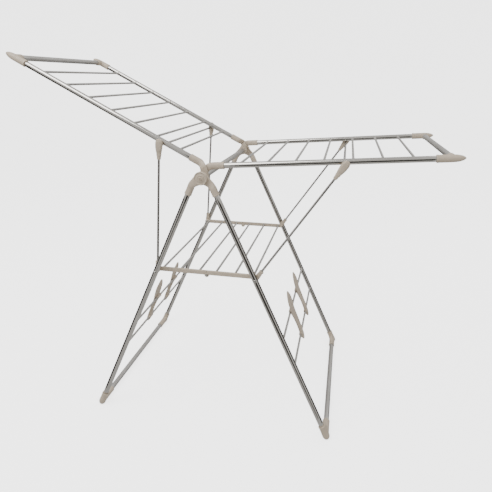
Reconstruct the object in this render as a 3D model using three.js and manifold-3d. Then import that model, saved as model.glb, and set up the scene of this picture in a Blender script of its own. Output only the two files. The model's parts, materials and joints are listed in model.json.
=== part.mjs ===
// A winged clothes drying rack. Two leg frames cross at one axle, a wing of drying rods is hinged
// on each side of it, a wire strut holds each wing up, and a folding shelf braces the legs apart.
// Units are millimetres, +X runs to the right wing, -Y is the front and +Z is up.
import * as THREE from 'three';
import { mergeVertices } from 'three/addons/utils/BufferGeometryUtils.js';
import Module from 'manifold-3d';

const wasm = await Module();
wasm.setup();
const { Manifold, Mesh } = wasm;

// Driving dimensions
const FOOT_HEIGHT = 18; // foot bar axes above the floor
const HUB_RISE = 895; // hub axis above the foot bar axes
const FOOT_REACH = 425; // hub axis to each foot bar axis, along X
const LEG_SPACING = 600; // front leg tubes to rear leg tubes
const LEG_OFFSET = 20.5; // leg tubes outside the hub, so that the folded legs lie side by side
const RAIL_SPACING = 535; // front wing rail to rear wing rail
const RAIL_OFFSET = 32; // wing rails above the hub axis, square to the wing
const WING_REACH = 757; // hub axis to the end bar, along the wing
const WING_ANGLE = { left: 27.5, right: 4 }; // degrees above level
const STRUT_CONTACT = { left: 175, right: 448 }; // hub axis to the strut's hook, along the wing
const PIVOT_REACH = 382; // hub axis to the strut and shelf pivot, along the leg

// Stock
const TUBE_RADIUS = 9.5;
const TUBE_WALL = 0.8;
const ROD_RADIUS = 4;
const ROD_WALL = 0.6;
const SOCKET_RADIUS = 11.5; // outside of every plastic socket
const BORE_RADIUS = 10; // inside of every plastic socket
const GAP = 0.3; // between pieces that touch
const TUBE_SIDES = 16;
const ROD_SIDES = 10;

// Hub
const AXLE_RADIUS = 4;
const AXLE_HOLE_RADIUS = 4.6;
const AXLE_HEAD_RADIUS = 8;
const AXLE_HEAD = [313.3, 317];
const LEG_DISC_RADIUS = 21;
const WING_DISC_RADIUS = 18;
const LEG_RING = { left: [305, 313], right: [296.5, 304.5] };
const WING_RING = { left: [279, 286], right: [271.5, 278.5] };
const HUB_SPACER_RADIUS = 9;
const LEG_SOCKET = [36, 72]; // along the leg, with the tube stopped at LEG_STOP
const LEG_STOP = 42;
const WING_SOCKET = [24, 70]; // along the wing, with the rail stopped at WING_STOP
const WING_STOP = 30;

// Corners
const FOOT_LEG_SOCKET = 34; // foot bar axis to the leg socket's mouth
const FOOT_BAR_SOCKET = 62; // leg axis to the foot bar socket's mouth
const FOOT_STOP = 16; // depth of solid plastic behind each tube end
const HEEL_RADIUS = 12.5;
const HEEL_DROP = 7.5;
const WING_CORNER_MOUTH = 44; // end bar axis to the rail socket's mouth
const WING_BAR_SOCKET = 30;
const WING_CORNER_STOP = 14;
const WING_NOSE = 25; // length of the corner's rounded nose
const WING_NOSE_START = 12; // end bar axis to the start of the nose

// Drying rods, shoe rods and shoe holders
const WING_ROD_COUNT = 7;
const FIRST_WING_ROD = 116;
const WING_ROD_PITCH = 90;
const SHOE_ROD = { upper: 615, lower: 715 }; // hub axis to each rod, along the leg
const HOLDER_SPACING = 176;
const HOLDER_THICKNESS = 12;
const HOLDER_BORE_RADIUS = 4.4;
const HOLDER_STEM = [14, 12]; // half width of the thick stem at each shoe rod
const HOLDER_WEB = [25, 14]; // half width of the thin plate at each shoe rod
const HOLDER_FRONT = 4.5; // shoe rod axes to the back of the thin plate
const HOLDER_FOOT = 15; // lower shoe rod to the centre of the stem's round end
const LEAF_LENGTH = 77; // upper shoe rod to the leaf's tip
const LEAF_WIDTH = 65;
const LEAF_WIDEST = 30; // upper shoe rod to the leaf's widest part
const LEAF_ROOT = 10; // upper shoe rod to the leaf's root, towards the lower one
const LEAF_TIP_EASE = 12;
const LEAF_THICKNESS = 4;
const LEAF_TILT = 7.5; // degrees that the leaf stands off the leg

// Struts and their clips
const WIRE_RADIUS = 4;
const WIRE_SPACING = 569.2;
const WIRE_BEND = 14;
const EYE_RADIUS = 8;
const EYE_THICKNESS = 7.4;
const PIN_RADIUS = 3;
const PIN_HOLE_RADIUS = 3.4;
const PIN_END = { left: 267, right: 279.5 }; // the right pin stops short of the shelf bar
const RIVET_HEAD_RADIUS = 6;
const RIVET_HEAD_THICKNESS = 2.5;
const CLIP = [279.3, 292];
const CLIP_BORE_RADIUS = 4.3;
const CLIP_COLLAR = [-44, -20]; // along the strut, from its cross wire
const CLIP_COLLAR_RADIUS = [5.8, 7];
const CLIP_NECK_RADIUS = 8;
const CLIP_HEAD = 10; // cross wire to the centre of the clip's round head
const CLIP_HEAD_RADIUS = 12;

// Folding shelf
const SHELF_BAR = [267.5, 276.5];
const SHELF_BAR_HEIGHT = 15;
const SHELF_LOBE = { left: [267.5, 271.8], right: [272.2, 276.5] };
const LOBE_RADIUS = 8;
const LOBE_CLEARANCE_RADIUS = 8.5;
const LOBE_PIN_RADIUS = 2.5;
const LOBE_PIN_HOLE_RADIUS = 2.9;
const SHELF_RODS = [30, 98, 163]; // from the middle hinge
const SHELF_ROD_INSET = 2; // depth of the rods in the bars

// Worked out from the driving dimensions
const HUB_HEIGHT = FOOT_HEIGHT + HUB_RISE;
const LEG_LENGTH = Math.sqrt(HUB_RISE ** 2 + FOOT_REACH ** 2 - LEG_OFFSET ** 2);
const LEG_ANGLE = Math.atan2(FOOT_REACH, HUB_RISE) - Math.atan2(LEG_OFFSET, LEG_LENGTH);
const PIVOT_X = PIVOT_REACH * Math.sin(LEG_ANGLE) + LEG_OFFSET * Math.cos(LEG_ANGLE);
const PIVOT_DROP = PIVOT_REACH * Math.cos(LEG_ANGLE) - LEG_OFFSET * Math.sin(LEG_ANGLE);
const HOOK_OFFSET = RAIL_OFFSET - TUBE_RADIUS - WIRE_RADIUS - GAP;
const LEG_Y = LEG_SPACING / 2;
const RAIL_Y = RAIL_SPACING / 2;
const WIRE_Y = WIRE_SPACING / 2;

const SIDES = { left: -1, right: 1 };
const ENDS = { front: -1, rear: 1 };

const polishedSteel = () =>
  new THREE.MeshStandardMaterial({ color: 0xc9cdd1, roughness: 0.18, metalness: 1 });
const satinSteel = () =>
  new THREE.MeshStandardMaterial({ color: 0xb9bcbe, roughness: 0.42, metalness: 0.9 });
const beigePlastic = () =>
  new THREE.MeshStandardMaterial({ color: 0xbeb2a2, roughness: 0.5, metalness: 0 });

// --- Solids ---

function solid(geometry) {
  const bare = geometry.clone();
  bare.deleteAttribute('normal');
  bare.deleteAttribute('uv');
  const merged = mergeVertices(bare);
  const vertProperties = new Float32Array(merged.attributes.position.array);
  const triVerts = new Uint32Array(merged.index.array);
  return new Manifold(new Mesh({ numProp: 3, vertProperties, triVerts }));
}

function toGeometry(body) {
  const { vertProperties, triVerts } = body.getMesh();
  const geometry = new THREE.BufferGeometry();
  geometry.setAttribute('position', new THREE.BufferAttribute(vertProperties, 3));
  geometry.setIndex(new THREE.BufferAttribute(triVerts, 1));
  return geometry;
}

const join = (...geometries) => Manifold.union(geometries.map(solid));
const cut = (body, ...geometries) => Manifold.difference([body, ...geometries.map(solid)]);

// A straight round bar along X or Y, and a cone whose radius changes along X.
function coneX(startRadius, endRadius, from, to, sides = TUBE_SIDES) {
  return new THREE.CylinderGeometry(endRadius, startRadius, to - from, sides)
    .rotateZ(-Math.PI / 2)
    .translate((from + to) / 2, 0, 0);
}

function alongX(radius, from, to, sides = TUBE_SIDES) {
  return coneX(radius, radius, from, to, sides);
}

function alongY(radius, from, to, sides = TUBE_SIDES) {
  return new THREE.CylinderGeometry(radius, radius, to - from, sides).translate(0, (from + to) / 2, 0);
}

// A ball with its poles on X, which a stretch turns into a rounded nose.
function ball(radius, stretch = 1) {
  const sphere = new THREE.SphereGeometry(radius, TUBE_SIDES, TUBE_SIDES / 2);
  return sphere.rotateZ(Math.PI / 2).scale(stretch, 1, 1);
}

// A tube with open ends, along Z, X or Y.
function pipe(length, radius, wall, sides) {
  const ring = new THREE.Shape().absarc(0, 0, radius, 0, 2 * Math.PI);
  ring.holes.push(new THREE.Path().absarc(0, 0, radius - wall, 0, 2 * Math.PI));
  return new THREE.ExtrudeGeometry(ring, { depth: length, bevelEnabled: false, curveSegments: sides / 2 });
}

function frameTubeX(from, to) {
  return pipe(to - from, TUBE_RADIUS, TUBE_WALL, TUBE_SIDES).rotateY(Math.PI / 2).translate(from, 0, 0);
}

function frameTubeY(halfLength) {
  const tube = pipe(2 * halfLength, TUBE_RADIUS, TUBE_WALL, TUBE_SIDES);
  return tube.rotateX(-Math.PI / 2).translate(0, -halfLength, 0);
}

function rodY(halfLength) {
  const rod = pipe(2 * halfLength, ROD_RADIUS, ROD_WALL, ROD_SIDES);
  return rod.rotateX(-Math.PI / 2).translate(0, -halfLength, 0);
}

// The outline of two round ends joined by their tangents.
function link(x0, z0, radius0, x1, z1, radius1) {
  const heading = Math.atan2(z1 - z0, x1 - x0);
  const spread = Math.acos((radius0 - radius1) / Math.hypot(x1 - x0, z1 - z0));
  const outline = new THREE.Shape();
  outline.absarc(x1, z1, radius1, heading - spread, heading + spread);
  outline.absarc(x0, z0, radius0, heading + spread, heading - spread + 2 * Math.PI);
  return outline;
}

function extrude(outline, depth) {
  return new THREE.ExtrudeGeometry(outline, { depth, bevelEnabled: false, curveSegments: 6 });
}

// An outline in X and Z, given a thickness along Y.
function plateY(outline, from, to) {
  return extrude(outline, to - from).rotateX(Math.PI / 2).translate(0, to, 0);
}

// --- Pieces of a leg frame. X runs down the leg from the hub, Z points away from the other leg ---

function legTube(side) {
  const rivetOutside = LEG_Y + TUBE_RADIUS;
  const pin = alongY(PIN_RADIUS, PIN_END[side], rivetOutside, ROD_SIDES);
  const head = alongY(RIVET_HEAD_RADIUS, rivetOutside - 1, rivetOutside + RIVET_HEAD_THICKNESS);
  return join(
    frameTubeX(LEG_STOP + GAP, LEG_LENGTH - FOOT_STOP).translate(0, LEG_Y, LEG_OFFSET),
    pin.translate(PIVOT_REACH, 0, LEG_OFFSET),
    head.translate(PIVOT_REACH, 0, LEG_OFFSET),
  );
}

function legArm(side) {
  const [from, to] = LEG_RING[side];
  const [start, mouth] = LEG_SOCKET;
  const pieces = [
    plateY(link(0, 0, LEG_DISC_RADIUS, start, LEG_OFFSET, SOCKET_RADIUS), from, to),
    alongX(SOCKET_RADIUS, start, mouth).translate(0, LEG_Y, LEG_OFFSET),
    ball(SOCKET_RADIUS).translate(start, LEG_Y, LEG_OFFSET),
  ];
  if (side === 'right') pieces.push(alongY(HUB_SPACER_RADIUS, WING_RING.left[1] + GAP, to));
  return cut(
    join(...pieces),
    alongX(BORE_RADIUS, LEG_STOP, mouth + 1).translate(0, LEG_Y, LEG_OFFSET),
    alongY(AXLE_HOLE_RADIUS, WING_RING.left[1], to + 1),
  );
}

function footCorner(floor) {
  const mouth = LEG_LENGTH - FOOT_LEG_SOCKET;
  const barMouth = LEG_Y - FOOT_BAR_SOCKET;
  const body = join(
    alongX(SOCKET_RADIUS, mouth, LEG_LENGTH + HEEL_DROP).translate(0, LEG_Y, LEG_OFFSET),
    alongY(SOCKET_RADIUS, barMouth, LEG_Y).translate(LEG_LENGTH, 0, LEG_OFFSET),
    ball(HEEL_RADIUS).translate(LEG_LENGTH + HEEL_DROP, LEG_Y, LEG_OFFSET),
  );
  return cut(
    body,
    alongX(BORE_RADIUS, mouth - 1, LEG_LENGTH - FOOT_STOP + GAP).translate(0, LEG_Y, LEG_OFFSET),
    alongY(BORE_RADIUS, barMouth - 1, LEG_Y - FOOT_STOP).translate(LEG_LENGTH, 0, LEG_OFFSET),
    floor,
  );
}

// A holder hooks over both shoe rods, and its leaf fills the toe of a shoe.
function shoeHolder() {
  const { upper, lower } = SHOE_ROD;
  const half = LEAF_WIDTH / 2;
  const leaf = new THREE.Shape();
  leaf.moveTo(LEAF_ROOT, -HOLDER_WEB[0]);
  leaf.quadraticCurveTo(-LEAF_ROOT, -half, -LEAF_WIDEST, -half);
  leaf.quadraticCurveTo(-LEAF_LENGTH + LEAF_TIP_EASE, -half, -LEAF_LENGTH, 0);
  leaf.quadraticCurveTo(-LEAF_LENGTH + LEAF_TIP_EASE, half, -LEAF_WIDEST, half);
  leaf.quadraticCurveTo(-LEAF_ROOT, half, LEAF_ROOT, HOLDER_WEB[0]);
  const web = link(0, 0, HOLDER_WEB[0], lower - upper, 0, HOLDER_WEB[1]);
  const stem = link(0, 0, HOLDER_STEM[0], lower - upper + HOLDER_FOOT, 0, HOLDER_STEM[1]);
  const front = LEG_OFFSET + HOLDER_FRONT;
  const tilt = THREE.MathUtils.degToRad(LEAF_TILT);
  const body = join(
    extrude(stem, HOLDER_THICKNESS).translate(upper, 0, LEG_OFFSET - HOLDER_THICKNESS / 2),
    extrude(web, LEAF_THICKNESS).translate(upper, 0, front),
    extrude(leaf, LEAF_THICKNESS).rotateY(tilt).translate(upper, 0, front),
  );
  const bores = [upper, lower].map((x) =>
    alongY(HOLDER_BORE_RADIUS, -LEAF_WIDTH, LEAF_WIDTH).translate(x, 0, LEG_OFFSET));
  return cut(body, ...bores);
}

// --- Pieces of a wing. X runs from the hub to the end bar, Z is square to the wing ---

function wingArm(side) {
  const [from, to] = WING_RING[side];
  const [start, mouth] = WING_SOCKET;
  const body = join(
    plateY(link(0, 0, WING_DISC_RADIUS, start, RAIL_OFFSET, SOCKET_RADIUS), from, to),
    alongY(SOCKET_RADIUS, RAIL_Y, to).translate(start, 0, RAIL_OFFSET),
    ball(SOCKET_RADIUS).translate(start, RAIL_Y, RAIL_OFFSET),
    alongX(SOCKET_RADIUS, start, mouth).translate(0, RAIL_Y, RAIL_OFFSET),
  );
  return cut(
    body,
    alongX(BORE_RADIUS, WING_STOP, mouth + 1).translate(0, RAIL_Y, RAIL_OFFSET),
    alongY(AXLE_HOLE_RADIUS, from - 1, to + 1),
  );
}

function wingCorner() {
  const mouth = WING_REACH - WING_CORNER_MOUTH;
  const noseStart = WING_REACH + WING_NOSE_START;
  const barMouth = RAIL_Y - WING_BAR_SOCKET;
  const body = join(
    alongX(SOCKET_RADIUS, mouth, noseStart).translate(0, RAIL_Y, RAIL_OFFSET),
    ball(SOCKET_RADIUS, WING_NOSE / SOCKET_RADIUS).translate(noseStart, RAIL_Y, RAIL_OFFSET),
    alongY(SOCKET_RADIUS, barMouth, RAIL_Y).translate(WING_REACH, 0, RAIL_OFFSET),
  );
  return cut(
    body,
    alongX(BORE_RADIUS, mouth - 1, WING_REACH - WING_CORNER_STOP).translate(0, RAIL_Y, RAIL_OFFSET),
    alongY(BORE_RADIUS, barMouth - 1, RAIL_Y - WING_CORNER_STOP).translate(WING_REACH, 0, RAIL_OFFSET),
  );
}

// --- Pieces of a strut. X runs from the leg pivot to the hook under the wing ---

// The wire is one U: an eye on each leg pin, two long sides and a cross wire under the rails.
function strutWire(length) {
  const straight = length - WIRE_BEND;
  const crossEnd = WIRE_Y - WIRE_BEND;
  const section = new THREE.Shape().absarc(0, 0, WIRE_RADIUS, 0, 2 * Math.PI);
  const pieces = [alongY(WIRE_RADIUS, -crossEnd - 1, crossEnd + 1, ROD_SIDES).translate(length, 0, 0)];
  for (const end of Object.values(ENDS)) {
    const bend = new THREE.QuadraticBezierCurve3(
      new THREE.Vector3(straight - 1, end * WIRE_Y, 0),
      new THREE.Vector3(length, end * WIRE_Y, 0),
      new THREE.Vector3(length, end * (crossEnd - 1), 0),
    );
    pieces.push(
      alongX(WIRE_RADIUS, 0, straight, ROD_SIDES).translate(0, end * WIRE_Y, 0),
      new THREE.ExtrudeGeometry(section, { steps: 8, extrudePath: bend, curveSegments: ROD_SIDES / 2 }),
      alongY(EYE_RADIUS, -EYE_THICKNESS / 2, EYE_THICKNESS / 2).translate(0, end * WIRE_Y, 0),
    );
  }
  return cut(join(...pieces), alongY(PIN_HOLE_RADIUS, -LEG_SPACING, LEG_SPACING));
}

function strutClip(length) {
  const [from, to] = CLIP;
  const [collarStart, collarEnd] = CLIP_COLLAR.map((along) => length + along);
  const body = join(
    plateY(link(collarEnd, 0, CLIP_NECK_RADIUS, length + CLIP_HEAD, 0, CLIP_HEAD_RADIUS), from, to),
    coneX(...CLIP_COLLAR_RADIUS, collarStart, collarEnd).translate(0, WIRE_Y, 0),
  );
  const straight = length - WIRE_BEND;
  return cut(
    body,
    alongX(CLIP_BORE_RADIUS, 0, length + WIRE_RADIUS + GAP, ROD_SIDES).translate(0, WIRE_Y, 0),
    new THREE.BoxGeometry(2 * WIRE_BEND, WIRE_BEND, 2 * CLIP_BORE_RADIUS)
      .translate(straight + WIRE_BEND / 2, WIRE_Y - WIRE_BEND / 2, 0),
  );
}

// --- The shelf. Each half is pinned to a leg and to the other half, below the bars' middle ---

function shelfHalf(side) {
  const [barFrom, barTo] = SHELF_BAR;
  const half = SHELF_BAR_HEIGHT / 2;
  const outline = new THREE.Shape();
  outline.absarc(PIVOT_X, 0, half, -Math.PI / 2, Math.PI / 2);
  outline.lineTo(GAP, half);
  outline.lineTo(GAP, -half);
  const [lobeFrom, lobeTo] = SHELF_LOBE[side];
  const [otherFrom, otherTo] = SHELF_LOBE[side === 'left' ? 'right' : 'left'];
  const clearance = alongY(LOBE_CLEARANCE_RADIUS, otherFrom - GAP, otherTo + GAP).translate(0, 0, -half);
  let bar = cut(join(plateY(outline, barFrom, barTo)), clearance);
  bar = bar.add(solid(alongY(LOBE_RADIUS, lobeFrom, lobeTo).translate(0, 0, -half)));
  if (side === 'left') {
    bar = bar.add(solid(alongY(LOBE_PIN_RADIUS, lobeTo - 1, barTo).translate(0, 0, -half)));
  } else {
    bar = cut(bar, alongY(LOBE_PIN_HOLE_RADIUS, barFrom, barTo + 1).translate(0, 0, -half));
  }
  bar = cut(bar, alongY(PIN_HOLE_RADIUS, barFrom - 1, barTo + 1).translate(PIVOT_X, 0, 0));
  const rodEnd = barFrom + SHELF_ROD_INSET;
  const rods = SHELF_RODS.map((x) => {
    return solid(alongY(ROD_RADIUS, -rodEnd, rodEnd, ROD_SIDES).translate(x, 0, 0));
  });
  const frame = Manifold.union([bar, bar.mirror([0, 1, 0]), ...rods]);
  return side === 'left' ? frame.mirror([1, 0, 0]) : frame;
}

// --- Assembly ---

// A frame that starts at a point on the rack's middle plane and leans by pitch below level.
function frameAt(x, z, pitch, side) {
  const group = new THREE.Group();
  group.position.set(SIDES[side] * x, 0, z);
  group.rotation.set(0, pitch, SIDES[side] < 0 ? Math.PI : 0, 'ZYX');
  return group;
}

function put(group, name, shape, material) {
  const geometry = shape.isBufferGeometry ? shape : toGeometry(shape);
  const mesh = new THREE.Mesh(geometry, material);
  mesh.name = name;
  group.add(mesh);
  return mesh;
}

// Adds a front and a rear copy of a body that is drawn on the +Y side, mirrored as it needs.
function putPair(group, side, piece, body, material) {
  for (const [end, sign] of Object.entries(ENDS)) {
    const copy = sign * SIDES[side] < 0 ? body.mirror([0, 1, 0]) : body;
    put(group, `${side}_${piece}_${end}`, copy, material());
  }
}

function buildHub(rack) {
  const hub = frameAt(0, HUB_HEIGHT, 0, 'right');
  const [headFrom, headTo] = AXLE_HEAD;
  const axle = join(
    alongY(AXLE_RADIUS, -headFrom - 1, headFrom + 1, ROD_SIDES),
    alongY(AXLE_HEAD_RADIUS, headFrom, headTo),
    alongY(AXLE_HEAD_RADIUS, -headTo, -headFrom),
  );
  const tubeEnd = WING_RING.right[0] - GAP;
  put(hub, 'hub_axle', axle, polishedSteel());
  put(hub, 'hub_cross_tube', frameTubeY(tubeEnd), polishedSteel());
  rack.add(hub);
}

function buildLegFrame(rack, side) {
  const frame = frameAt(0, HUB_HEIGHT, Math.PI / 2 - LEG_ANGLE, side);
  frame.updateMatrix();
  const floor = new THREE.BoxGeometry(4 * FOOT_REACH, 2 * LEG_SPACING, 2 * FOOT_REACH)
    .translate(0, 0, -FOOT_REACH)
    .applyMatrix4(frame.matrix.clone().invert());
  putPair(frame, side, 'leg_tube', legTube(side), polishedSteel);
  putPair(frame, side, 'leg_arm', legArm(side), beigePlastic);
  putPair(frame, side, 'foot_corner', footCorner(floor), beigePlastic);
  const barEnd = LEG_Y - FOOT_STOP - GAP;
  put(frame, `${side}_foot_bar`, frameTubeY(barEnd).translate(LEG_LENGTH, 0, LEG_OFFSET), satinSteel());
  const rodEnd = LEG_Y - TUBE_RADIUS - GAP;
  for (const [place, x] of Object.entries(SHOE_ROD)) {
    put(frame, `${side}_shoe_rod_${place}`, rodY(rodEnd).translate(x, 0, LEG_OFFSET), satinSteel());
  }
  for (const [end, sign] of Object.entries(ENDS)) {
    const holder = put(frame, `${side}_shoe_holder_${end}`, shoeHolder(), beigePlastic());
    holder.position.y = (sign * SIDES[side] * HOLDER_SPACING) / 2;
  }
  rack.add(frame);
}

function buildWing(rack, side) {
  const frame = frameAt(0, HUB_HEIGHT, -THREE.MathUtils.degToRad(WING_ANGLE[side]), side);
  const railEnd = WING_REACH - WING_CORNER_STOP - GAP;
  const rail = join(frameTubeX(WING_STOP + GAP, railEnd).translate(0, RAIL_Y, RAIL_OFFSET));
  putPair(frame, side, 'wing_arm', wingArm(side), beigePlastic);
  putPair(frame, side, 'wing_rail', rail, polishedSteel);
  putPair(frame, side, 'wing_corner', wingCorner(), beigePlastic);
  const barEnd = RAIL_Y - WING_CORNER_STOP - GAP;
  const endBar = frameTubeY(barEnd).translate(WING_REACH, 0, RAIL_OFFSET);
  put(frame, `${side}_wing_end_bar`, endBar, satinSteel());
  const rodEnd = RAIL_Y - TUBE_RADIUS - GAP;
  for (let i = 0; i < WING_ROD_COUNT; i += 1) {
    const along = FIRST_WING_ROD + i * WING_ROD_PITCH;
    put(frame, `${side}_wing_rod_${i + 1}`, rodY(rodEnd).translate(along, 0, RAIL_OFFSET), satinSteel());
  }
  rack.add(frame);
}

function buildStrut(rack, side) {
  const lean = THREE.MathUtils.degToRad(WING_ANGLE[side]);
  const along = STRUT_CONTACT[side];
  const hookX = along * Math.cos(lean) - HOOK_OFFSET * Math.sin(lean);
  const hookZ = along * Math.sin(lean) + HOOK_OFFSET * Math.cos(lean);
  const rise = hookZ + PIVOT_DROP;
  const length = Math.hypot(hookX - PIVOT_X, rise);
  const frame = frameAt(PIVOT_X, HUB_HEIGHT - PIVOT_DROP, -Math.atan2(rise, hookX - PIVOT_X), side);
  put(frame, `${side}_strut_wire`, strutWire(length), polishedSteel());
  putPair(frame, side, 'strut_clip', strutClip(length), beigePlastic);
  rack.add(frame);
}

function buildShelf(rack) {
  const frame = frameAt(0, HUB_HEIGHT - PIVOT_DROP, 0, 'right');
  for (const side of Object.keys(SIDES)) put(frame, `shelf_${side}_half`, shelfHalf(side), satinSteel());
  rack.add(frame);
}

const rack = new THREE.Group();
buildHub(rack);
for (const side of Object.keys(SIDES)) {
  buildLegFrame(rack, side);
  buildWing(rack, side);
  buildStrut(rack, side);
}
buildShelf(rack);

// The middle of the rack's box stands at the origin.
const box = new THREE.Box3().setFromObject(rack, true);
rack.position.x = -(box.min.x + box.max.x) / 2;

export default rack;
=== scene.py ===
"""Looks of the winged clothes drying rack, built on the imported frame.

Each limb is drawn in its own frame, in millimetres: X runs along the limb, Z is square to it and Y
is the rack's depth. Front and rear pieces are mirror images, drawn once on the +Y side.
"""
import json
import math

import bmesh
import bpy
from mathutils import Matrix, Vector


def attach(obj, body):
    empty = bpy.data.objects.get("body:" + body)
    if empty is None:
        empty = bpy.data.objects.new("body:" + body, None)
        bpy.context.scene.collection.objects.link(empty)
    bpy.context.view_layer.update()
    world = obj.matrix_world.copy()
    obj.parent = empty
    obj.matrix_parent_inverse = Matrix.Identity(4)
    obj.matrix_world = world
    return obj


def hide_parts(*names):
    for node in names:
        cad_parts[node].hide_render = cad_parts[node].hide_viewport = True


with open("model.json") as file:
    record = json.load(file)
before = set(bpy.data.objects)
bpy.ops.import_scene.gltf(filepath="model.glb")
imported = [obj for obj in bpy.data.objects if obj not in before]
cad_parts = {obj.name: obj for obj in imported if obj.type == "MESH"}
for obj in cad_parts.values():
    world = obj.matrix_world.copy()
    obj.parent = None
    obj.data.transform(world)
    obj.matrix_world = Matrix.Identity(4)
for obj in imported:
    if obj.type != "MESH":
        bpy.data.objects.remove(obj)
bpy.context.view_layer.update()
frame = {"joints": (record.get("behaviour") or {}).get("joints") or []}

# ---------------------------------------------------------------- places, from the frame

MM = 0.001
JOINTS = {joint["name"]: joint for joint in frame["joints"]}
HUB = Vector(JOINTS["leg_fold"]["pos_m"])
PIVOT = {side: Vector(JOINTS[f"{side}_strut_swing"]["pos_m"]) for side in ("left", "right")}
LEG_ANGLE = math.radians(JOINTS["leg_fold"]["range_deg"][1]) / 2
WING_ANGLE = {"left": math.radians(27.5), "right": math.radians(4)}
SIDES = {"left": -1, "right": 1}
ENDS = {"front": -1, "rear": 1}

# Sizes shared with the frame, in millimetres
LEG_OFFSET = 20.5
LEG_LENGTH = (HUB.z / MM - 18 + LEG_OFFSET * math.sin(LEG_ANGLE)) / math.cos(LEG_ANGLE)
LEG_Y = 300
RAIL_Y = 267.5
RAIL_OFFSET = 32
WING_REACH = 757
WING_FIRST_ROD = 116
WING_ROD_PITCH = 90
WING_ROD_COUNT = 7
LEG_PIVOT_REACH = 382  # hub axis to the pins of the strut and the shelf, along the leg
WIRE_Y = 284.6
WIRE_RADIUS = 4
WIRE_BEND = 14
TUBE_RADIUS = 9.5
ROD_RADIUS = 4
STRUT_CONTACT = {"left": 175, "right": 448}
HOOK_OFFSET = RAIL_OFFSET - TUBE_RADIUS - WIRE_RADIUS - 0.3
SHOE_RODS = {"upper": 615, "lower": 715}
HOLDER_Y = 88
SHELF_RODS = (30, 98, 163)
SHELF_BAR = (267.5, 276.5)  # the bars' two faces, along Y
SHELF_BAR_HALF_HEIGHT = 7.5
SHELF_LOBES = {"left": (267.5, 271.8), "right": (272.2, 276.5)}


def limb(origin, pitch, side):
    """From a limb's own frame, in millimetres, to the rack's frame, in metres."""
    turn = Matrix.Rotation(math.pi if SIDES[side] < 0 else 0, 4, "Z")
    return Matrix.Translation(origin) @ turn @ Matrix.Rotation(pitch, 4, "Y") @ Matrix.Scale(MM, 4)


def strut_reach(side):
    """The strut's vector from its leg pivot to its hook, mirrored so that the wing is on +X."""
    lean = WING_ANGLE[side]
    along = STRUT_CONTACT[side]
    hook_x = along * math.cos(lean) - HOOK_OFFSET * math.sin(lean)
    hook_z = along * math.sin(lean) + HOOK_OFFSET * math.cos(lean)
    return hook_x - abs(PIVOT[side].x - HUB.x) / MM, hook_z + (HUB.z - PIVOT[side].z) / MM


LEG_FRAME = {side: limb(HUB, math.pi / 2 - LEG_ANGLE, side) for side in SIDES}
WING_FRAME = {side: limb(HUB, -WING_ANGLE[side], side) for side in SIDES}
STRUT_LENGTH = {side: math.hypot(*strut_reach(side)) for side in SIDES}
STRUT_FRAME = {
    side: limb(PIVOT[side], -math.atan2(*reversed(strut_reach(side))), side) for side in SIDES
}

# ---------------------------------------------------------------- materials


def material(name, base, metallic):
    made = bpy.data.materials.new(name)
    made.use_nodes = True
    shader = made.node_tree.nodes["Principled BSDF"]
    shader.inputs["Base Color"].default_value = (*base, 1)
    shader.inputs["Metallic"].default_value = metallic
    return made, made.node_tree, shader


def noise(tree, coordinates, scale, detail=4, stretch=(1, 1, 1)):
    """A noise texture's factor. Stretch scales each coordinate before the noise."""
    mapping = tree.nodes.new("ShaderNodeMapping")
    mapping.inputs["Scale"].default_value = stretch
    texture = tree.nodes.new("ShaderNodeTexNoise")
    texture.inputs["Scale"].default_value = scale
    texture.inputs["Detail"].default_value = detail
    source = tree.nodes.new("ShaderNodeTexCoord")
    tree.links.new(source.outputs[coordinates], mapping.inputs["Vector"])
    tree.links.new(mapping.outputs["Vector"], texture.inputs["Vector"])
    return texture.outputs["Fac"]


def spread(tree, factor, low, high):
    """Maps a noise factor's middle range to the values low to high."""
    node = tree.nodes.new("ShaderNodeMapRange")
    node.inputs["From Min"].default_value = 0.3
    node.inputs["From Max"].default_value = 0.7
    node.inputs["To Min"].default_value = low
    node.inputs["To Max"].default_value = high
    tree.links.new(factor, node.inputs["Value"])
    return node.outputs["Result"]


def tint(tree, factor, dark, light):
    ramp = tree.nodes.new("ShaderNodeValToRGB")
    ramp.color_ramp.elements[0].position = 0.3
    ramp.color_ramp.elements[1].position = 0.7
    ramp.color_ramp.elements[0].color = (*dark, 1)
    ramp.color_ramp.elements[1].color = (*light, 1)
    tree.links.new(factor, ramp.inputs["Fac"])
    return ramp.outputs["Color"]


def bump(tree, shader, height, distance, strength):
    node = tree.nodes.new("ShaderNodeBump")
    node.inputs["Distance"].default_value = distance
    node.inputs["Strength"].default_value = strength
    tree.links.new(height, node.inputs["Height"])
    tree.links.new(node.outputs["Normal"], shader.inputs["Normal"])


def steel(name, base, shade, rough, grain_strength):
    """Steel with drawing lines along the stock. The UV map holds along and around, in metres."""
    made, tree, shader = material(name, base, 1)
    lines = noise(tree, "UV", 900, 3, (0.02, 1, 1))
    stains = noise(tree, "Object", 9, 5)
    tree.links.new(tint(tree, stains, shade, base), shader.inputs["Base Color"])
    tree.links.new(spread(tree, lines, *rough), shader.inputs["Roughness"])
    bump(tree, shader, lines, 0.00002, grain_strength)
    return made


def moulded_plastic(name, base, shade):
    """Beige plastic with a fine moulded grain and faint flow marks."""
    made, tree, shader = material(name, base, 0)
    flow = noise(tree, "Object", 35, 5, (1, 1, 0.5))
    grain = noise(tree, "Object", 1400, 2)
    tree.links.new(tint(tree, flow, shade, base), shader.inputs["Base Color"])
    tree.links.new(spread(tree, grain, 0.42, 0.6), shader.inputs["Roughness"])
    bump(tree, shader, grain, 0.00006, 0.35)
    return made


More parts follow.
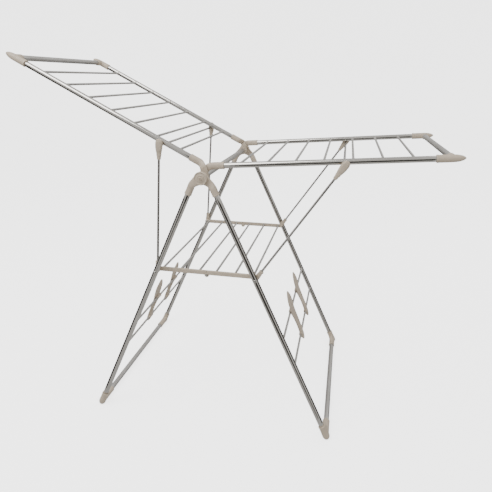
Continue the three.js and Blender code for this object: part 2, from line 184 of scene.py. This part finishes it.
POLISHED = steel("polished_steel", (0.6, 0.58, 0.545), (0.5, 0.482, 0.45), (0.08, 0.19), 0.12)
SATIN = steel("satin_steel", (0.57, 0.555, 0.53), (0.49, 0.475, 0.45), (0.42, 0.58), 0.3)
BEIGE = moulded_plastic("beige_plastic", (0.55, 0.465, 0.365), (0.48, 0.405, 0.315))

# ---------------------------------------------------------------- mesh tools


def loft(rings):
    """A closed skin through rings of equal count. UVs run along and around, in metres."""
    mesh = bmesh.new()
    layer = mesh.loops.layers.uv.new("UVMap")
    count = len(rings[0])
    rows = [[mesh.verts.new(point) for point in ring] for ring in rings]
    girth = max(sum((ring[i] - ring[i - 1]).length for i in range(count)) for ring in rings) * MM
    start = 0
    for near, far, a, b in zip(rings, rings[1:], rows, rows[1:]):
        stop = start + (far[0] - near[0]).length * MM
        for i in range(count):
            j = (i + 1) % count
            face = mesh.faces.new((a[i], a[j], b[j], b[i]))
            corners = ((start, i), (start, i + 1), (stop, i + 1), (stop, i))
            for corner, (along, step) in zip(face.loops, corners):
                corner[layer].uv = (along, step / count * girth)
        start = stop
    mesh.faces.new(reversed(rows[0]))
    mesh.faces.new(rows[-1])
    bmesh.ops.recalc_face_normals(mesh, faces=mesh.faces)
    return mesh


def turned(axis, profile, centre=(0, 0, 0), sides=40):
    """A turned body. The profile is a list of (along, radius) and the axis is "X" or "Y"."""
    rings = []
    for along, radius in profile:
        ring = []
        for i in range(sides):
            angle = 2 * math.pi * i / sides
            u, v = radius * math.cos(angle), radius * math.sin(angle)
            point = (along, u, v) if axis == "X" else (u, along, v)
            ring.append(Vector(centre) + Vector(point))
        rings.append(ring)
    return loft(rings)


def stock(axis, start, stop, radius, centre, sides=40):
    """A straight tube or rod with chamfered ends and enough rings for its surface to be even."""
    ring_spacing = 60
    count = max(2, round((stop - start) / ring_spacing))
    chamfer = 0.5
    inner = stop - start - 2 * chamfer
    middle = [(start + chamfer + inner * i / count, radius) for i in range(count + 1)]
    profile = [(start, radius - chamfer), *middle, (stop, radius - chamfer)]
    return turned(axis, profile, centre, sides)


def welded_rod(x, z, reach):
    """A rod across the rack that swells into a small weld at each end."""
    swell = ((0, 1.6), (1.2, 1.3), (2.4, 0.5), (4, 0))
    left = [(-reach + along, ROD_RADIUS + extra) for along, extra in swell]
    right = [(reach - along, ROD_RADIUS + extra) for along, extra in reversed(swell)]
    middle = [(reach * share, ROD_RADIUS) for share in (-0.6, -0.2, 0.2, 0.6)]
    return turned("Y", [*left, *middle, *right], (x, 0, z), 28)


def eased(stations, count):
    """Points on a smooth curve through the stations, by Catmull and Rom's formula."""
    keys = [Vector(station) for station in stations]
    keys = [2 * keys[0] - keys[1], *keys, 2 * keys[-1] - keys[-2]]
    curve = []
    for i in range(1, len(keys) - 2):
        a, b, c, d = keys[i - 1:i + 3]
        for k in range(count):
            t = k / count
            curve.append(0.5 * (2 * b + (c - a) * t + (2 * a - 5 * b + 4 * c - d) * t * t
                                + (3 * b - a - 3 * c + d) * t ** 3))
    return [*curve, keys[-2]]


def limb_loft(stations, count=4, sides=36, power=2.3):
    """A body along a curve in the XZ plane. A station is (x, z, half width, y, half depth)."""
    points = eased(stations, count) if count else [Vector(station) for station in stations]
    rings = []
    for i, (x, z, width, y, depth) in enumerate(points):
        after, before = points[min(i + 1, len(points) - 1)], points[max(i - 1, 0)]
        along = Vector((after[0] - before[0], 0, after[1] - before[1])).normalized()
        across = Vector((-along.z, 0, along.x))
        ring = []
        for k in range(sides):
            angle = 2 * math.pi * k / sides
            c, s = math.cos(angle), math.sin(angle)
            u = math.copysign(abs(c) ** (2 / power), c) * max(width, 0.05)
            v = math.copysign(abs(s) ** (2 / power), s) * max(depth, 0.05)
            ring.append(Vector((x, y + v, z)) + across * u)
        rings.append(ring)
    return loft(rings)


def joined(*bodies):
    """Several bodies in one mesh, still as separate shells."""
    whole = bmesh.new()
    for body in bodies:
        part = bpy.data.meshes.new("part")
        body.to_mesh(part)
        body.free()
        whole.from_mesh(part)
        bpy.data.meshes.remove(part)
    return whole


def through_modifiers(body, modifiers):
    """Runs a body through modifiers and gives the result back as a body."""
    source = bpy.data.meshes.new("source")
    body.to_mesh(source)
    body.free()
    carrier = bpy.data.objects.new("carrier", source)
    bpy.context.scene.collection.objects.link(carrier)
    for kind, settings in modifiers:
        modifier = carrier.modifiers.new(kind, kind)
        for key, value in settings.items():
            setattr(modifier, key, value)
    shown = carrier.evaluated_get(bpy.context.evaluated_depsgraph_get())
    result = bmesh.new()
    made = bpy.data.meshes.new_from_object(shown)
    result.from_mesh(made)
    bpy.data.meshes.remove(made)
    bpy.data.objects.remove(carrier)
    bpy.data.meshes.remove(source)
    return result


def moulded(*bodies, voxel=0.7, blend=7, keep=0.3):
    """Fuses bodies into one moulded piece with soft fillets where they meet."""
    return through_modifiers(joined(*bodies), [
        ("REMESH", {"mode": "VOXEL", "voxel_size": voxel, "use_smooth_shade": True}),
        ("SMOOTH", {"factor": 0.6, "iterations": blend}),
        ("DECIMATE", {"ratio": keep}),
    ])


def carved(body, cutter):
    """The body less the cutter."""
    knife_mesh = bpy.data.meshes.new("knife")
    cutter.to_mesh(knife_mesh)
    cutter.free()
    knife = bpy.data.objects.new("knife", knife_mesh)
    bpy.context.scene.collection.objects.link(knife)
    settings = {"operation": "DIFFERENCE", "object": knife, "solver": "EXACT"}
    result = through_modifiers(body, [("BOOLEAN", settings)])
    bpy.data.objects.remove(knife)
    bpy.data.meshes.remove(knife_mesh)
    return result


def box_body(low, high):
    """A plain box, used as a cutter."""
    mesh = bmesh.new()
    bmesh.ops.create_cube(mesh, size=1)
    size = Vector(high) - Vector(low)
    bmesh.ops.scale(mesh, vec=size, verts=mesh.verts)
    bmesh.ops.translate(mesh, vec=Vector(low) + size / 2, verts=mesh.verts)
    return mesh


def mirrored(body):
    """A copy of the body on the other side of the limb's XZ plane."""
    copy = body.copy()
    bmesh.ops.scale(copy, vec=(1, -1, 1), verts=copy.verts)
    bmesh.ops.reverse_faces(copy, faces=copy.faces)
    return copy


def piece(name, body, place, finish, rides_on, *nodes):
    """Makes a named object from a body. It rides on a CAD body and replaces the CAD nodes named."""
    mesh = bpy.data.meshes.new(name)
    body.to_mesh(mesh)
    mesh.transform(place)
    mesh.materials.append(finish)
    mesh.shade_smooth()
    made = bpy.data.objects.new(name, mesh)
    bpy.context.scene.collection.objects.link(made)
    sharp = made.modifiers.new("edges", "EDGE_SPLIT")
    sharp.split_angle = math.radians(50)
    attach(made, rides_on)
    if nodes:
        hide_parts(*nodes)


def pair(kind, body, places, side, finish, rides_on, cad=True):
    """A front and a rear piece from one body drawn on the +Y side."""
    for end, sign in ENDS.items():
        copy = mirrored(body) if sign * SIDES[side] < 0 else body.copy()
        name = f"{side}_{kind}_{end}"
        piece(f"{name}_look", copy, places[side], finish, rides_on, *([name] if cad else []))
        copy.free()
    body.free()


# ---------------------------------------------------------------- hub


def build_hub():
    place = Matrix.Translation(HUB) @ Matrix.Scale(MM, 4)
    tube = stock("Y", -271, 271, TUBE_RADIUS, (0, 0, 0))
    piece("hub_cross_tube_look", tube, place, SATIN, "left_leg_frame", "hub_cross_tube")
    shank_radius = 3.9
    head = turned("Y", [
        (311, shank_radius), (311.2, 6.2), (313.4, 6.4), (314.6, 5.8), (315, 4.4), (315.1, 0.5),
    ], sides=36)
    shank = stock("Y", -312, 312, shank_radius, (0, 0, 0), 20)
    axle = joined(head.copy(), mirrored(head), shank)
    head.free()
    piece("hub_axle_look", axle, place, POLISHED, "left_leg_frame", "hub_axle")


def hub_face():
    """The disc that shows at each end of the hub: a thick rim, a dished face and a raised boss."""
    profile = [(305.2, 20.6), (306, 21.6), (312.6, 22.2), (314.2, 21.6), (314.8, 20.2), (314.4, 18.9),
               (313.3, 18.3), (313.1, 12.2), (313.6, 11.4), (314.5, 10.9), (314.7, 10), (314.5, 8.6),
               (313.7, 8), (313.6, 6.7), (315.2, 6.4), (316, 5.9), (316.5, 4.6), (316.7, 0.5)]
    face = turned("Y", profile, sides=64)
    for turn in (0.4, 0.4 + math.pi / 2):
        slot = box_body((-4.4, 315.4, -0.8), (4.4, 317.5, 0.8))
        bmesh.ops.rotate(slot, cent=(0, 0, 0), matrix=Matrix.Rotation(turn, 3, "Y"), verts=slot.verts)
        face = carved(face, slot)
    return face


def leg_arm(side):
    """A curved arm from the hub disc to the leg socket. The left arms lie outside the right ones."""
    ring = 309 if side == "left" else 300.5
    shoulder = ring - 1 if side == "left" else ring
    arm = limb_loft([
        (-3, -2, 19, ring, 4), (6, 4, 19, ring, 4), (15, 9.5, 16.5, ring, 4), (24, 14.5, 14, ring, 4),
        (31, 17.8, 12.8, shoulder, 5), (39, 19.7, 12.1, (ring + LEG_Y) / 2, 8.6),
        (47, LEG_OFFSET, 11.8, LEG_Y, 11.3), (58, LEG_OFFSET, 11.7, LEG_Y, 11.5),
        (70, LEG_OFFSET, 11.6, LEG_Y, 11.6),
    ])
    lip = turned("X", [(67.5, 11.4), (68.2, 12.5), (71.4, 12.4), (72, 11.2)], (0, LEG_Y, LEG_OFFSET))
    disc = turned("Y", [
        (ring - 4, 19.5), (ring - 3.2, 20.8), (ring + 3.2, 20.8), (ring + 4, 19.5),
    ], sides=56)
    bodies = [arm, lip, disc]
    if side == "right":
        bodies.append(turned("Y", [(286.4, 8.6), (287, 9.2), (300, 9.2)]))
    return moulded(*bodies)


def wing_arm(side):
    """A gooseneck from its ring on the axle up to the rail socket."""
    ring = 282.5 if side == "left" else 275
    middle = (ring + RAIL_Y) / 2
    neck = limb_loft([
        (-1, -3, 16, ring, 3.5), (1, 6, 15.2, ring, 3.5), (4, 15, 13.2, ring, 3.5),
        (9, 23, 12.2, ring, 3.5), (15, 28, 12, ring, 3.8), (23, 31, 11.9, middle, 8),
        (33, RAIL_OFFSET, 11.8, RAIL_Y, 11.2), (50, RAIL_OFFSET, 11.7, RAIL_Y, 11.6),
        (68, RAIL_OFFSET, 11.6, RAIL_Y, 11.6),
    ])
    lip = turned("X", [(65.5, 11.4), (66.2, 12.3), (69.4, 12.2), (70, 11.2)], (0, RAIL_Y, RAIL_OFFSET))
    disc = turned("Y", [
        (ring - 3.5, 16.8), (ring - 2.7, 17.9), (ring + 2.7, 17.9), (ring + 3.5, 16.8),
    ], sides=48)
    return moulded(neck, lip, disc)


# ---------------------------------------------------------------- legs


def foot_corner():
    """The heel of a leg: a socket for the leg, a socket for the foot bar and a blunt round heel."""
    end = LEG_LENGTH
    heel = turned("X", [
        (end - 35, 10.4), (end - 34.6, 12.2), (end - 33, 12.7), (end - 30, 12.6), (end - 28.5, 12),
        (end - 12, 12.2), (end + 2, 12.9), (end + 9, 12.5), (end + 14.5, 10.4), (end + 18.2, 6.8),
        (end + 19.8, 2),
    ], (0, LEG_Y, LEG_OFFSET), 48)
    socket = turned("Y", [
        (237, 10.4), (237.4, 12.2), (239, 12.7), (242, 12.6), (243.5, 11.9), (275, 12), (300, 12.2),
    ], (end, 0, LEG_OFFSET), 48)
    web = limb_loft([(end - 22, LEG_OFFSET, 9, 290, 9), (end - 8, LEG_OFFSET, 9, 284, 16),
                     (end, LEG_OFFSET, 9, 282, 18)], power=3)
    return moulded(heel, socket, web, blend=9)


def flattened_on_floor(body, place):
    """Presses whatever is below the floor up to it, as a foot's flat sole."""
    back = place.inverted()
    for vertex in body.verts:
        point = place @ vertex.co
        if point.z < 0:
            point.z = 0
            vertex.co = back @ point
    return body


def shoe_holder():
    """A long leaf that fills a shoe's toe, with a stem behind it that hooks over both shoe rods."""
    upper, lower = SHOE_RODS["upper"], SHOE_RODS["lower"]
    rod = LEG_OFFSET
    front = rod + 6.4
    blade = limb_loft([
        (upper - 76, front + 9.8, 0.8, 0, 3), (upper - 72, front + 9.3, 1.8, 0, 10.5),
        (upper - 62, front + 8, 2.3, 0, 20.5), (upper - 47, front + 6, 2.6, 0, 29),
        (upper - 30, front + 3.9, 2.7, 0, 32.2), (upper - 12, front + 1.7, 2.7, 0, 30),
        (upper + 6, front + 0.3, 2.6, 0, 26.4), (upper + 28, front, 2.5, 0, 24.4),
        (upper + 52, front, 2.5, 0, 21.4), (upper + 76, front, 2.5, 0, 18.4), (lower, front, 2.4, 0, 14.8),
        (lower + 12, front - 1, 2.2, 0, 12.2), (lower + 22, front - 3, 1.8, 0, 8),
        (lower + 26, front - 4, 0.8, 0, 3),
    ], power=2.6)
    stem = limb_loft([
        (upper - 14, rod + 4, 1, 0, 6), (upper - 8, rod + 2, 4.4, 0, 12.4), (upper, rod, 6, 0, 13.8),
        (upper + 12, rod + 1.4, 4.8, 0, 12.8), (upper + 50, rod + 2.4, 3.8, 0, 11),
        (lower - 12, rod + 1.4, 4.8, 0, 11.2), (lower, rod, 6, 0, 12), (lower + 13, rod, 5.2, 0, 10.4),
        (lower + 24, rod + 1, 2, 0, 6),
    ], power=2.8)
    ridge = limb_loft([
        (upper - 69, front + 10.6, 0.7, 0, 1.1), (upper - 48, front + 8.2, 1.5, 0, 2.1),
        (upper - 20, front + 4.8, 1.9, 0, 2.6), (upper + 6, front + 2.4, 2.1, 0, 3),
        (upper + 40, front + 2, 1.9, 0, 2.6), (lower - 14, front + 1.8, 1.7, 0, 2.2),
        (lower + 10, front + 0.8, 0.8, 0, 1.2),
    ])
    rims = [limb_loft([
        (upper - 60, front + 9.6, 0.8, sign * 18, 1), (upper - 44, front + 7.6, 1.2, sign * 26.4, 1.4),
        (upper - 28, front + 5.4, 1.3, sign * 29, 1.5), (upper - 8, front + 3, 1.3, sign * 26.4, 1.5),
        (upper + 12, front + 1.8, 1.3, sign * 22.6, 1.4), (upper + 48, front + 1.6, 1.2, sign * 19, 1.3),
        (lower - 8, front + 1.4, 0.8, sign * 13.6, 1),
    ]) for sign in (-1, 1)]
    saddles = [turned("Y", [(-15.5, 5.6), (-14.6, 7), (14.6, 7), (15.5, 5.6)], (x, 0, rod), 36)
               for x in (upper, lower)]
    return moulded(blade, stem, ridge, *rims, *saddles, voxel=0.9, blend=3, keep=0.4)


def leg_rivet(side):
    """The pin that the strut and, on the left, the shelf turn on, with a domed head outside."""
    inner = 265.8 if side == "left" else 277.4
    return turned("Y", [
        (inner, 1.2), (inner + 0.3, 3.8), (inner + 1.1, 4.9), (inner + 1.4, 4.9), (inner + 1.41, 3),
        (308.5, 3), (308.6, 5.6), (309.8, 5.5), (310.7, 4.6), (311.3, 2.6), (311.5, 0.6),
    ], (LEG_PIVOT_REACH, 0, LEG_OFFSET), 32)


def build_leg_frame(side):
    place = LEG_FRAME[side]
    body = f"{side}_leg_frame"
    pair("leg_arm", leg_arm(side), LEG_FRAME, side, BEIGE, body)
    if side == "left":
        pair("hub_face", hub_face(), LEG_FRAME, side, BEIGE, body, cad=False)
    tube = stock("X", 43, LEG_LENGTH - 16, TUBE_RADIUS, (0, LEG_Y, LEG_OFFSET), 48)
    pair("leg_tube", joined(tube, leg_rivet(side)), LEG_FRAME, side, POLISHED, body)
    pair("foot_corner", flattened_on_floor(foot_corner(), place), LEG_FRAME, side, BEIGE, body)
    holder = shoe_holder()
    bmesh.ops.translate(holder, vec=(0, HOLDER_Y, 0), verts=holder.verts)
    pair("shoe_holder", holder, LEG_FRAME, side, BEIGE, body)
    bar = stock("Y", -283, 283, TUBE_RADIUS, (LEG_LENGTH, 0, LEG_OFFSET), 48)
    piece(f"{side}_foot_bar_look", bar, place, SATIN, body, f"{side}_foot_bar")
    for kind, x in SHOE_RODS.items():
        rod = welded_rod(x, LEG_OFFSET, LEG_Y - TUBE_RADIUS + 1)
        piece(f"{side}_shoe_rod_{kind}_look", rod, place, SATIN, body, f"{side}_shoe_rod_{kind}")


# ---------------------------------------------------------------- wings


def wing_corner():
    """A rail socket that runs out into a pointed nose, with a socket for the end bar."""
    end = WING_REACH
    nose = turned("X", [
        (end - 45, 10.4), (end - 44.6, 12), (end - 43, 12.5), (end - 40, 12.4), (end - 38.5, 11.8),
        (end - 5, 11.8), (end + 10, 11.3), (end + 20, 9.8), (end + 28, 7.4), (end + 34, 4.2),
        (end + 36.8, 1.2),
    ], (0, RAIL_Y, RAIL_OFFSET), 48)
    socket = turned("Y", [
        (236.5, 10.4), (237, 11.6), (240, 12), (258, 12), (RAIL_Y, 12),
    ], (end, 0, RAIL_OFFSET), 48)
    return moulded(nose, socket, blend=9)


def build_wing(side):
    place = WING_FRAME[side]
    body = f"{side}_wing"
    pair("wing_arm", wing_arm(side), WING_FRAME, side, BEIGE, body)
    rail = stock("X", 31, WING_REACH - 15, TUBE_RADIUS, (0, RAIL_Y, RAIL_OFFSET), 48)
    pair("wing_rail", rail, WING_FRAME, side, POLISHED, body)
    pair("wing_corner", wing_corner(), WING_FRAME, side, BEIGE, body)
    bar = stock("Y", -253, 253, TUBE_RADIUS, (WING_REACH, 0, RAIL_OFFSET), 48)
    piece(f"{side}_wing_end_bar_look", bar, place, SATIN, body, f"{side}_wing_end_bar")
    for i in range(WING_ROD_COUNT):
        x = WING_FIRST_ROD + WING_ROD_PITCH * i
        rod = welded_rod(x, RAIL_OFFSET, RAIL_Y - TUBE_RADIUS + 1)
        piece(f"{side}_wing_rod_{i + 1}_look", rod, place, SATIN, body, f"{side}_wing_rod_{i + 1}")


# ---------------------------------------------------------------- struts


def strut_wire(length):
    """One U of wire: up from a leg pin, round a bend, across under the rails and back down."""
    corner_x, corner_y = length - WIRE_BEND, WIRE_Y - WIRE_BEND
    path = [(2, WIRE_Y), *[(corner_x * k / 8, WIRE_Y) for k in range(1, 8)]]
    bend = [math.pi / 2 * k / 10 for k in range(11)]
    path += [(corner_x + WIRE_BEND * math.sin(a), corner_y + WIRE_BEND * math.cos(a)) for a in bend]
    path += [(length, corner_y * share) for share in (0.75, 0.5, 0.25)]
    path = [*path, (length, 0), *[(x, -y) for x, y in reversed(path)]]
    rings = []
    for i, (x, y) in enumerate(path):
        after, before = path[min(i + 1, len(path) - 1)], path[max(i - 1, 0)]
        along = Vector((after[0] - before[0], after[1] - before[1], 0)).normalized()
        across = Vector((-along.y, along.x, 0))
        ring = []
        for k in range(24):
            angle = 2 * math.pi * k / 24
            offset = across * math.cos(angle) + Vector((0, 0, 1)) * math.sin(angle)
            ring.append(Vector((x, y, 0)) + offset * WIRE_RADIUS)
        rings.append(ring)
    return loft(rings)


def strut_clip(length):
    """A clip that grips the wire's corner: a rounded paddle beside the rail and a tapered collar."""
    collar = limb_loft([
        (length - 46, 0, 5.2, WIRE_Y, 5), (length - 43, 0, 6.3, WIRE_Y, 5.5),
        (length - 34, 0, 7, WIRE_Y, 5.6),
        (length - 26, 0, 8.2, 285, 5.8), (length - 18, 0, 10, 285.4, 6),
        (length - 6, 0, 11.8, 285.6, 6.3), (length + 8, 0, 12.2, 285.6, 6.3),
        (length + 16, 0, 10.6, 285.6, 6.1), (length + 20.5, 0, 7, 285.6, 5.4),
        (length + 22.5, 0, 2, 285.6, 3),
    ], power=2.8)
    band = limb_loft([
        (length - 33, 0, 7.8, 284.8, 5.9), (length - 28, 0, 8.6, 284.9, 6),
    ], count=0, power=2.8)
    pad = limb_loft([
        (length - 19, 0, 4, 290.6, 1.2), (length - 16, 0, 7, 290.8, 1.7), (length - 4, 0, 8.8, 291, 1.9),
        (length + 7, 0, 9.2, 291, 1.9), (length + 14, 0, 7, 290.8, 1.7), (length + 17, 0, 3.6, 290.6, 1.2),
    ], power=3.4)
    return moulded(collar, band, pad, voxel=0.5, blend=4)


def ferrule():
    """The plastic sleeve at a strut's foot, round at the pin and flared at its mouth."""
    return moulded(
        limb_loft([
            (-8.6, 0, 1.5, WIRE_Y, 2), (-7.8, 0, 4.4, WIRE_Y, 4), (-5, 0, 7.2, WIRE_Y, 5),
            (0, 0, 8.6, WIRE_Y, 5.3), (8, 0, 8.8, WIRE_Y, 5.4), (18, 0, 8, WIRE_Y, 5.4),
            (28, 0, 7, WIRE_Y, 5.4), (34, 0, 6.6, WIRE_Y, 5.4), (35, 0, 5.8, WIRE_Y, 4.9),
        ], power=3),
        limb_loft([(29, 0, 8, WIRE_Y, 5.6), (33, 0, 8, WIRE_Y, 5.6)], count=0, power=3),
        voxel=0.5, blend=4,
    )


def build_strut(side):
    body = f"{side}_strut"
    length = STRUT_LENGTH[side]
    place = STRUT_FRAME[side]
    piece(f"{side}_strut_wire_look", strut_wire(length), place, POLISHED, body, f"{side}_strut_wire")
    pair("strut_clip", strut_clip(length), STRUT_FRAME, side, BEIGE, body)
    pair("strut_ferrule", ferrule(), STRUT_FRAME, side, BEIGE, body, cad=False)


# ---------------------------------------------------------------- shelf


def shelf_bar(side, reach):
    """A flat bar with a round outer end and a hinge lobe under its inner end."""
    half = SHELF_BAR_HALF_HEIGHT
    first, last = SHELF_BAR
    middle, depth = (first + last) / 2, (last - first) / 2
    stations = [(0.3, 0, half - 0.6, middle, depth - 0.6), (0.9, 0, half, middle, depth)]
    stations += [(reach * k / 6, 0, half, middle, depth) for k in range(1, 7)]
    for k in range(1, 7):
        angle = math.pi / 2 * k / 6.2
        stations.append((reach + half * math.sin(angle), 0, half * math.cos(angle), middle, depth))
    bar = limb_loft(stations, count=0, sides=40, power=7)
    start, stop = SHELF_LOBES["right" if side == "left" else "left"]
    clearance = 0.3
    notch = turned("Y", [(start - clearance, 8.5), (stop + clearance, 8.5)], (0, 0, -half), 48)
    bar = carved(bar, notch)
    start, stop = SHELF_LOBES[side]
    lobe = turned("Y", [(start, 7.4), (start + 0.6, 8), (stop - 0.6, 8), (stop, 7.4)], (0, 0, -half), 48)
    return joined(bar, lobe)


def build_shelf(side):
    reach = abs(PIVOT["left"].x - HUB.x) / MM
    place = Matrix.Translation((HUB.x, 0, PIVOT["left"].z)) @ Matrix.Scale(MM, 4)
    if side == "left":
        place = place @ Matrix.Rotation(math.pi, 4, "Z")
    body = f"shelf_{side}"
    bar = shelf_bar(side, reach)
    for end, sign in ENDS.items():
        copy = mirrored(bar) if sign * SIDES[side] < 0 else bar.copy()
        nodes = [f"shelf_{side}_half"] if end == "front" else []
        piece(f"shelf_{side}_bar_{end}", copy, place, BEIGE, body, *nodes)
        copy.free()
    bar.free()
    for i, x in enumerate(SHELF_RODS):
        piece(f"shelf_{side}_rod_{i + 1}", welded_rod(x, 0, SHELF_BAR[0] + 1), place, SATIN, body)
    if side == "left":
        pin = turned("Y", [(271, 2.5), (276.6, 2.5), (276.61, 4.4), (277.2, 4.3), (277.8, 3.2), (278, 0.8)],
                     (0, 0, -SHELF_BAR_HALF_HEIGHT), 28)
        pins = joined(pin.copy(), mirrored(pin))
        pin.free()
        piece("shelf_hinge_pins", pins, place, POLISHED, body)


# ---------------------------------------------------------------- studio


def build_camera():
    camera = bpy.data.objects.new("camera", bpy.data.cameras.new("camera"))
    camera.location = (HUB.x + 0.4509, -1.6182, 1.2218)
    camera.rotation_euler = (math.pi / 2 - 0.236, 0, 0.204)
    camera.data.sensor_width = 36
    camera.data.lens = 32.36
    camera.data.shift_x = -0.0203
    camera.data.shift_y = -0.124
    bpy.context.scene.collection.objects.link(camera)
    bpy.context.scene.camera = camera


def plain(name, colour, roughness):
    """A matt studio surface."""
    made, tree, shader = material(name, colour, 0)
    uneven = spread(tree, noise(tree, "Object", 3), roughness, roughness + 0.1)
    tree.links.new(uneven, shader.inputs["Roughness"])
    return made, shader


def build_backdrop():
    """A pale floor that sweeps up into a dome, so that every view has the same plain ground."""
    profile = [
        (0.01, 0), (3, 0), (8, 0), (18, 0), (22, 0.5), (25, 2), (27, 5), (28, 10), (26, 17), (19, 24),
        (0.01, 29),
    ]
    sides = 48
    rings = []
    for radius, height in profile:
        angles = [2 * math.pi * i / sides for i in range(sides)]
        rings.append([Vector((radius * math.cos(a), radius * math.sin(a), height)) for a in angles])
    shell = loft(rings)
    mesh = bpy.data.meshes.new("backdrop")
    shell.to_mesh(mesh)
    shell.free()
    mesh.shade_smooth()
    pale, shader = plain("pale_floor", (0.84, 0.84, 0.84), 0.8)
    shader.inputs["Emission Color"].default_value = (1, 1, 1, 1)
    shader.inputs["Emission Strength"].default_value = 2.7
    mesh.materials.append(pale)
    made = bpy.data.objects.new("backdrop", mesh)
    bpy.context.scene.collection.objects.link(made)
    made.visible_glossy = made.visible_diffuse = made.visible_shadow = made.visible_transmission = False


def build_cards():
    """Dark studio cards all round, seen only in reflections, which draw the streaks on the steel."""
    radius, low, high = 3.2, -1.5, 1.35
    half = math.radians(27)
    rows = 6
    for number in range(4):
        heading = math.radians(-76 + 90 * number)
        card = bmesh.new()
        rings = []
        for z in (low, high):
            angles = [heading + half * (2 * k / rows - 1) for k in range(rows + 1)]
            rings.append([card.verts.new((radius * math.cos(a), radius * math.sin(a), z)) for a in angles])
        for k in range(rows):
            card.faces.new((rings[0][k], rings[0][k + 1], rings[1][k + 1], rings[1][k]))
        mesh = bpy.data.meshes.new(f"card_{number + 1}")
        card.to_mesh(mesh)
        card.free()
        black, _ = plain(f"card_black_{number + 1}", (0.03, 0.028, 0.026), 0.9)
        mesh.materials.append(black)
        made = bpy.data.objects.new(mesh.name, mesh)
        bpy.context.scene.collection.objects.link(made)
        made.visible_camera = made.visible_diffuse = made.visible_shadow = made.visible_transmission = False


def build_lights():
    world = bpy.data.worlds.new("studio")
    bpy.context.scene.world = world
    world.use_nodes = True
    tree = world.node_tree
    sky = tree.nodes["Background"]
    sky.inputs["Color"].default_value = (1, 0.99, 0.975, 1)
    direction = tree.nodes.new("ShaderNodeTexCoord")
    split = tree.nodes.new("ShaderNodeSeparateXYZ")
    rise = tree.nodes.new("ShaderNodeMapRange")
    rise.inputs["From Min"].default_value = -0.6
    rise.inputs["From Max"].default_value = 0.9
    rise.inputs["To Min"].default_value = 0.65
    rise.inputs["To Max"].default_value = 0.9
    tree.links.new(direction.outputs["Generated"], split.inputs["Vector"])
    tree.links.new(split.outputs["Z"], rise.inputs["Value"])
    tree.links.new(rise.outputs["Result"], sky.inputs["Strength"])
    for name, place, power, size in (("key", (-1.2, -1.6, 3.4), 80, 2.0), ("fill", (2.2, 1.2, 3), 18, 2.4)):
        lamp = bpy.data.lights.new(name, "AREA")
        lamp.energy = power
        lamp.size = size
        made = bpy.data.objects.new(name, lamp)
        made.location = place
        made.rotation_euler = (HUB - Vector(place)).to_track_quat("-Z", "Y").to_euler()
        bpy.context.scene.collection.objects.link(made)


build_camera()
build_hub()
for side_name in SIDES:
    build_leg_frame(side_name)
    build_wing(side_name)
    build_strut(side_name)
    build_shelf(side_name)
build_backdrop()
build_cards()
build_lights()
